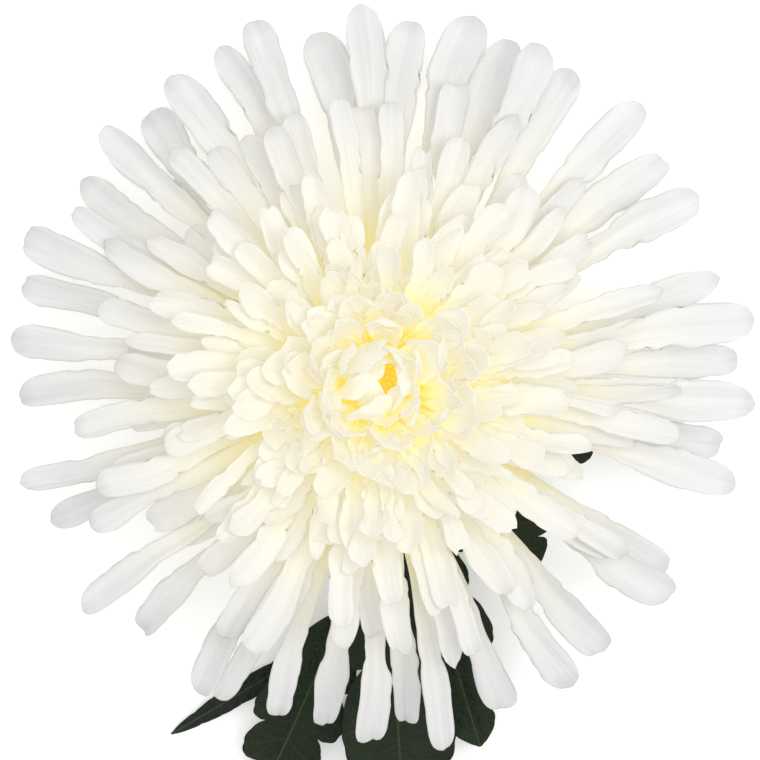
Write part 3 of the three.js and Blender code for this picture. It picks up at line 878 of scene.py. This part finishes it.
def lobed_half_width(q, depth):
    """Half the width of a leaf at a share of its blade, as a share of its widest."""
    outline = np.sin(math.pi * np.clip(q, 0, 1) ** 0.8) ** 0.55
    lobes = np.abs(np.cos(math.pi * (q - FIRST_LOBE) / LOBE_PITCH)) ** 0.55
    return outline * (1 - depth + depth * lobes)


def leaf_base(place, azimuth, start):
    """Where a leaf's stalk starts, just clear of the stem, and its way out."""
    share = place / len(STEM_LINE)
    centre, along = (rows[0] for rows in stem_at(share))
    turn, slope = radians(azimuth), radians(start)
    heading = turn_z(np.array([math.cos(slope), 0.0, math.sin(slope)]), turn)
    away = unit(heading - along * (heading @ along))
    across = np.array([-math.sin(turn), math.cos(turn), 0.0])
    corner = PETIOLE_RADIUS * (abs(away @ across) + abs(away[2]))
    return centre + away * (stem_radius(share) + RIB_HEIGHT / 2 + FIT + corner), away


def leaf_shell(item, place, azimuth, length, width, start, end, lobe_depth):
    """A lobed leaf: its rows slant along the side veins, so each side vein is one row of the grid."""
    base, away = leaf_base(place, azimuth, start)
    # Rows from 0 at the blade's foot to 1 at its tip, with one on each lobe's vein, and below 0 on the stalk.
    step = LOBE_PITCH / LOBE_ROWS
    count = int((1 - FIRST_ROW) * LOBE_ROWS / LOBE_PITCH) + 1
    q_rows = FIRST_ROW + np.arange(count) * LOBE_PITCH / LOBE_ROWS + (FIRST_LOBE - FIRST_ROW) % step
    stalk_rows = np.linspace(-PETIOLE_SHARE / (1 - PETIOLE_SHARE), 0, STALK_ROWS, endpoint=False)
    q = np.concatenate([stalk_rows, q_rows, [1.0]])[:, None]
    v = np.linspace(-1, 1, LEAF_COLUMNS)[None, :]
    t = PETIOLE_SHARE + (1 - PETIOLE_SHARE) * q
    slope, out, up = bowed_line(length, radians(start), radians(end), t)
    blade = smooth(0, 0.06, q)
    teeth = 0.03 * np.abs(np.sin(math.pi * q / LOBE_PITCH * 3.5))
    crenate = 1 + teeth - 0.03 * (v < 0) * ripple(item, 3, q, 9)
    half = np.maximum(width * lobed_half_width(np.maximum(q, 0), lobe_depth) * crenate, 0.3)
    half = np.maximum(half * blade, PETIOLE_RADIUS * (1 - smooth(0.0, 0.1, q)) * lerp(1.0, 0.8, q > -0.1))
    slanted = half * np.abs(v) * math.cos(VEIN_SLANT) * np.clip(4 * (1 - q), 0, 1) * blade
    across = half * v * lerp(1, math.sin(VEIN_SLANT), blade)
    blade_length = length * (1 - PETIOLE_SHARE)
    lobe = (q - FIRST_LOBE) / LOBE_PITCH
    from_vein = np.abs(lobe - np.round(lobe)) * LOBE_PITCH * blade_length * math.sin(VEIN_SLANT)
    fold = 0.14 * np.abs(across) - 0.006 * across**2
    wave = 0.05 * half * v**2 * np.sin(2 * math.pi * q / LOBE_PITCH + azimuth) * blade
    pucker = 0.11 * np.minimum(from_vein, 3.0) * (1 - v**2) * smooth(0, 2.5, np.abs(across)) * blade
    ruffle = 0.035 * half * v**4 * ripple(item, 9, q, 12) * blade
    lift = fold + wave + pucker + ruffle
    points = np.stack([out + slanted * np.cos(slope), across, up + slanted * np.sin(slope) + lift], -1)
    points = turn_z(points, radians(azimuth)) + base
    stalk = 1 - smooth(-0.02, 0.10, q)
    thick = lerp(0.17 + 0.25 * np.exp(-((across / 0.9) ** 2)) * (1 - q), 0.85, stalk)
    thick = thick * lerp(1, np.sqrt(np.clip(1 - 0.96 * v**2, 0, 1)), stalk)
    points[..., 2] = ease_above(points[..., 2], LEAF_CLEARANCE, 1)
    points -= away * (1 - smooth(-0.25, -0.18, q))[..., None]  # the stalk's foot reaches into the stem
    cool = 0.85 if lobe_depth == SLIM_LOBE_DEPTH else 0.2 + 0.2 * draw(item, 17)
    midrib, vein = np.abs(across) * (1 - stalk), from_vein + 9 * stalk
    shell = blade_shell(points, thick, midrib=midrib, vein=vein, cool=cool)
    shell.values["under"] = np.repeat([0.0, 1.0], len(shell.points) // 2)
    return shell


# ---- Sizes and colours that can be changed ----


def colour(name, description, default):
    return bpy.props.FloatVectorProperty(
        name=name, description=description, default=default, subtype="COLOR", size=3, min=0, max=1)


class FlowerSizes(bpy.types.PropertyGroup):
    """Sizes of the flower's finer pieces."""

    rim_length: bpy.props.FloatProperty(
        name="Rim floret length", description="From root to tip of a rim floret", default=0.069,
        unit="LENGTH")
    thickness: bpy.props.FloatProperty(
        name="Floret thickness", description="At a floret's middle line", default=0.0004, unit="LENGTH")
    fullness: bpy.props.FloatProperty(
        name="Fullness", description="Width of the spoons, as a share of their usual width", default=1.0,
        subtype="FACTOR", min=0.5, max=1.2)
    disc_florets: bpy.props.IntProperty(
        name="Disc florets", description="Tubular florets on the disc", default=70, min=10, max=200)
    hairs: bpy.props.IntProperty(
        name="Hairs", description="Short hairs on the stem", default=2600, min=0, max=8000)


class FlowerColours(bpy.types.PropertyGroup):
    """Colours of the flower and its stage."""

    root: colour("Floret root", "Golden foot of each floret", (0.85, 0.70, 0.19))
    flush: colour("Flush", "Lemon flush above the floret's foot", (0.76, 0.73, 0.46))
    heart: colour("Heart", "Blades of the florets near the middle", (0.645, 0.63, 0.52))
    heart_tip: colour("Heart tips", "Tips of the florets near the middle", (0.61, 0.595, 0.53))
    mid: colour("Rim blade", "Blades of the rim florets", (0.79, 0.78, 0.71))
    rim: colour("Rim tip", "Tips of the rim florets", (0.70, 0.70, 0.70))
    # Painted glow: the next two colours are emission, light painted on the florets in place of light that
    # passes through them.
    rim_glow: colour("Rim glow", "Light that passes through the rim florets", (0.19, 0.19, 0.18))
    glow: colour("Glow", "Light that shows through the crowded florets", (0.93, 0.88, 0.72))
    disc: colour("Disc", "Tips of the disc florets", (0.86, 0.60, 0.06))
    disc_foot: colour("Disc foot", "Foot of the disc florets", (0.66, 0.47, 0.06))
    bract: colour("Bract", "Bracts under the bloom", (0.20, 0.30, 0.08))
    bract_dark: colour("Bract keel", "Darker lines of the bracts", (0.10, 0.18, 0.05))
    bract_margin: colour("Bract margin", "Dry edges of the bracts", (0.55, 0.52, 0.33))
    stem: colour("Stem", "Ribs of the stem", (0.20, 0.30, 0.085))
    stem_groove: colour("Stem groove", "Grooves of the stem", (0.10, 0.18, 0.045))
    pith: colour("Pith", "Middle of the cut end", (0.72, 0.72, 0.50))
    leaf: colour("Leaf", "Lighter parts of a leaf's face", (0.027, 0.041, 0.014))
    leaf_dark: colour("Leaf shade", "Darker parts of a leaf's face", (0.014, 0.024, 0.009))
    leaf_cool: colour("Leaf bloom", "Bluish cast of the slim leaf", (0.020, 0.026, 0.027))
    leaf_vein: colour("Leaf vein", "Midrib and side veins", (0.075, 0.105, 0.040))
    leaf_under: colour("Leaf underside", "Paler back of a leaf", (0.12, 0.17, 0.09))
    down: colour("Down", "Tips of the hairs", (0.70, 0.75, 0.60))
    floor: colour("Floor", "Plain pale floor", (0.92, 0.92, 0.92))


# ---- Operators ----


class FLOWER_OT_ray_florets(bpy.types.Operator):
    """Builds the rim, dome and heart florets and the receptacle that they grow from"""

    bl_idname = "flower.ray_florets"
    bl_label = "Ray florets"

    def execute(self, context):
        sizes, colours = context.scene.flower_sizes, context.scene.flower_colours
        finish = petal_finish(colours)
        rim = [rim_floret(i, azimuth, sizes) for i, azimuth in enumerate(rim_azimuths())]
        middle = [middle_floret(i, azimuth, sizes) for i, azimuth in enumerate(middle_azimuths())]
        middle += [filler_floret(i, *filler, sizes) for i, filler in enumerate(FILLERS)]
        heart = [dome_floret(i, i) for i in range(HEART_FLORETS)]
        dome = [dome_floret(i, i) for i in range(HEART_FLORETS, DOME_FLORETS)]
        kinds = {
            "rim_florets": (rim, RIM_GRID),
            "middle_florets": (middle, MIDDLE_GRID),
            "dome_florets": (dome, DOME_GRID),
            "inner_florets": ([inner_floret(i) for i in INNER_PLACES], DOME_GRID),
            "heart_florets": (heart, HEART_GRID),
        }
        for name, (florets, grid) in kinds.items():
            shells = [floret_blade(floret, grid, sizes) for floret in florets]
            if name == "heart_florets":
                shells.append(receptacle_shell())
            make_piece(name, shells, finish, ["ray_florets"])
        return {"FINISHED"}


class FLOWER_OT_disc(bpy.types.Operator):
    """Builds the golden disc in the heart"""

    bl_idname = "flower.disc"
    bl_label = "Disc florets"

    def execute(self, context):
        shells = disc_shells(context.scene.flower_sizes.disc_florets)
        make_piece("disc", shells, disc_finish(context.scene.flower_colours), ["disc_florets"])
        return {"FINISHED"}


class FLOWER_OT_bracts(bpy.types.Operator):
    """Builds the cup of overlapping bracts under the bloom"""

    bl_idname = "flower.bracts"
    bl_label = "Bracts"

    def execute(self, context):
        finish = bract_finish(context.scene.flower_colours)
        make_piece("bracts", bract_shells(), finish, ["bract_cup"])
        return {"FINISHED"}


class FLOWER_OT_stem(bpy.types.Operator):
    """Builds the ribbed stem with its down"""

    bl_idname = "flower.stem"
    bl_label = "Stem"

    def execute(self, context):
        sizes, colours = context.scene.flower_sizes, context.scene.flower_colours
        make_piece("ribbed_stem", [stem_shell()], stem_finish(colours), ["stem"])
        make_piece("stem_down", down_shells(sizes.hairs), down_finish(colours), ["stem"])
        return {"FINISHED"}


class FLOWER_OT_leaves(bpy.types.Operator):
    """Builds the lobed leaves"""

    bl_idname = "flower.leaves"
    bl_label = "Leaves"

    def execute(self, context):
        finish = leaf_finish(context.scene.flower_colours)
        for item, (node, growth) in enumerate(LEAVES.items()):
            make_piece(node.replace("leaf", "blade"), [leaf_shell(item, *growth)], finish, [node])
        return {"FINISHED"}


class FLOWER_OT_stage(bpy.types.Operator):
    """Builds the pale floor, the soft light and the camera that looks down the bloom's axis"""

    bl_idname = "flower.stage"
    bl_label = "Stage"

    def execute(self, context):
        scene = context.scene
        mesh = bpy.data.meshes.new("floor")
        a = FLOOR_REACH
        mesh.from_pydata([(-a, -a, 0), (a, -a, 0), (a, a, 0), (-a, a, 0)], [], [(0, 1, 2, 3)])
        mesh.materials.append(floor_finish(scene.flower_colours))
        floor = bpy.data.objects.new("floor", mesh)
        floor.location.z = -FLOOR_DROP
        scene.collection.objects.link(floor)

        world = bpy.data.worlds.new("studio")
        world.use_nodes = True
        surround = world.node_tree.nodes["Background"].inputs
        surround["Color"].default_value = (1, 1, 1, 1)
        surround["Strength"].default_value = AMBIENT
        scene.world = world
        seat = Vector(SEAT * MM)
        for name, (place, size, power) in SOFTBOXES.items():
            light = bpy.data.lights.new(name, "AREA")
            light.energy, light.size = power, size
            lamp = bpy.data.objects.new(name, light)
            lamp.location = seat + Vector(place)
            lamp.visible_camera = False
            lamp.rotation_euler = Vector(place).to_track_quat("Z", "Y").to_euler()
            scene.collection.objects.link(lamp)

        camera = bpy.data.cameras.new("camera")
        camera.sensor_width = SENSOR_WIDTH
        camera.lens = SENSOR_WIDTH * CAMERA_DISTANCE / SHOWN_WIDTH
        eye = bpy.data.objects.new("camera", camera)
        offset = Matrix.Rotation(-LEAN, 4, "X") @ Matrix.Translation((*CAMERA_SHIFT, CAMERA_DISTANCE))
        eye.matrix_world = Matrix.Translation(seat) @ offset
        scene.collection.objects.link(eye)
        scene.camera = eye
        scene.view_settings.view_transform = "Standard"
        return {"FINISHED"}


class FLOWER_PT_panel(bpy.types.Panel):
    """Lists the flower's sizes, colours and pieces"""

    bl_idname = "FLOWER_PT_panel"
    bl_label = "Spider Chrysanthemum"
    bl_space_type = "VIEW_3D"
    bl_region_type = "UI"
    bl_category = "Flower"

    def draw(self, context):
        for group in (context.scene.flower_sizes, context.scene.flower_colours):
            for name in type(group).__annotations__:
                self.layout.prop(group, name)
        for operator in OPERATORS:
            self.layout.operator(operator.bl_idname)


OPERATORS = (
    FLOWER_OT_ray_florets,
    FLOWER_OT_disc,
    FLOWER_OT_bracts,
    FLOWER_OT_stem,
    FLOWER_OT_leaves,
    FLOWER_OT_stage,
)
CLASSES = (FlowerSizes, FlowerColours, *OPERATORS, FLOWER_PT_panel)


def register():
    for each in CLASSES:
        bpy.utils.register_class(each)
    bpy.types.Scene.flower_sizes = bpy.props.PointerProperty(type=FlowerSizes)
    bpy.types.Scene.flower_colours = bpy.props.PointerProperty(type=FlowerColours)


def unregister():
    del bpy.types.Scene.flower_sizes
    del bpy.types.Scene.flower_colours
    for each in reversed(CLASSES):
        bpy.utils.unregister_class(each)


def main():
    register()
    bpy.ops.flower.ray_florets()
    bpy.ops.flower.disc()
    bpy.ops.flower.bracts()
    bpy.ops.flower.stem()
    bpy.ops.flower.leaves()
    bpy.ops.flower.stage()


if __name__ == "__main__":
    main()
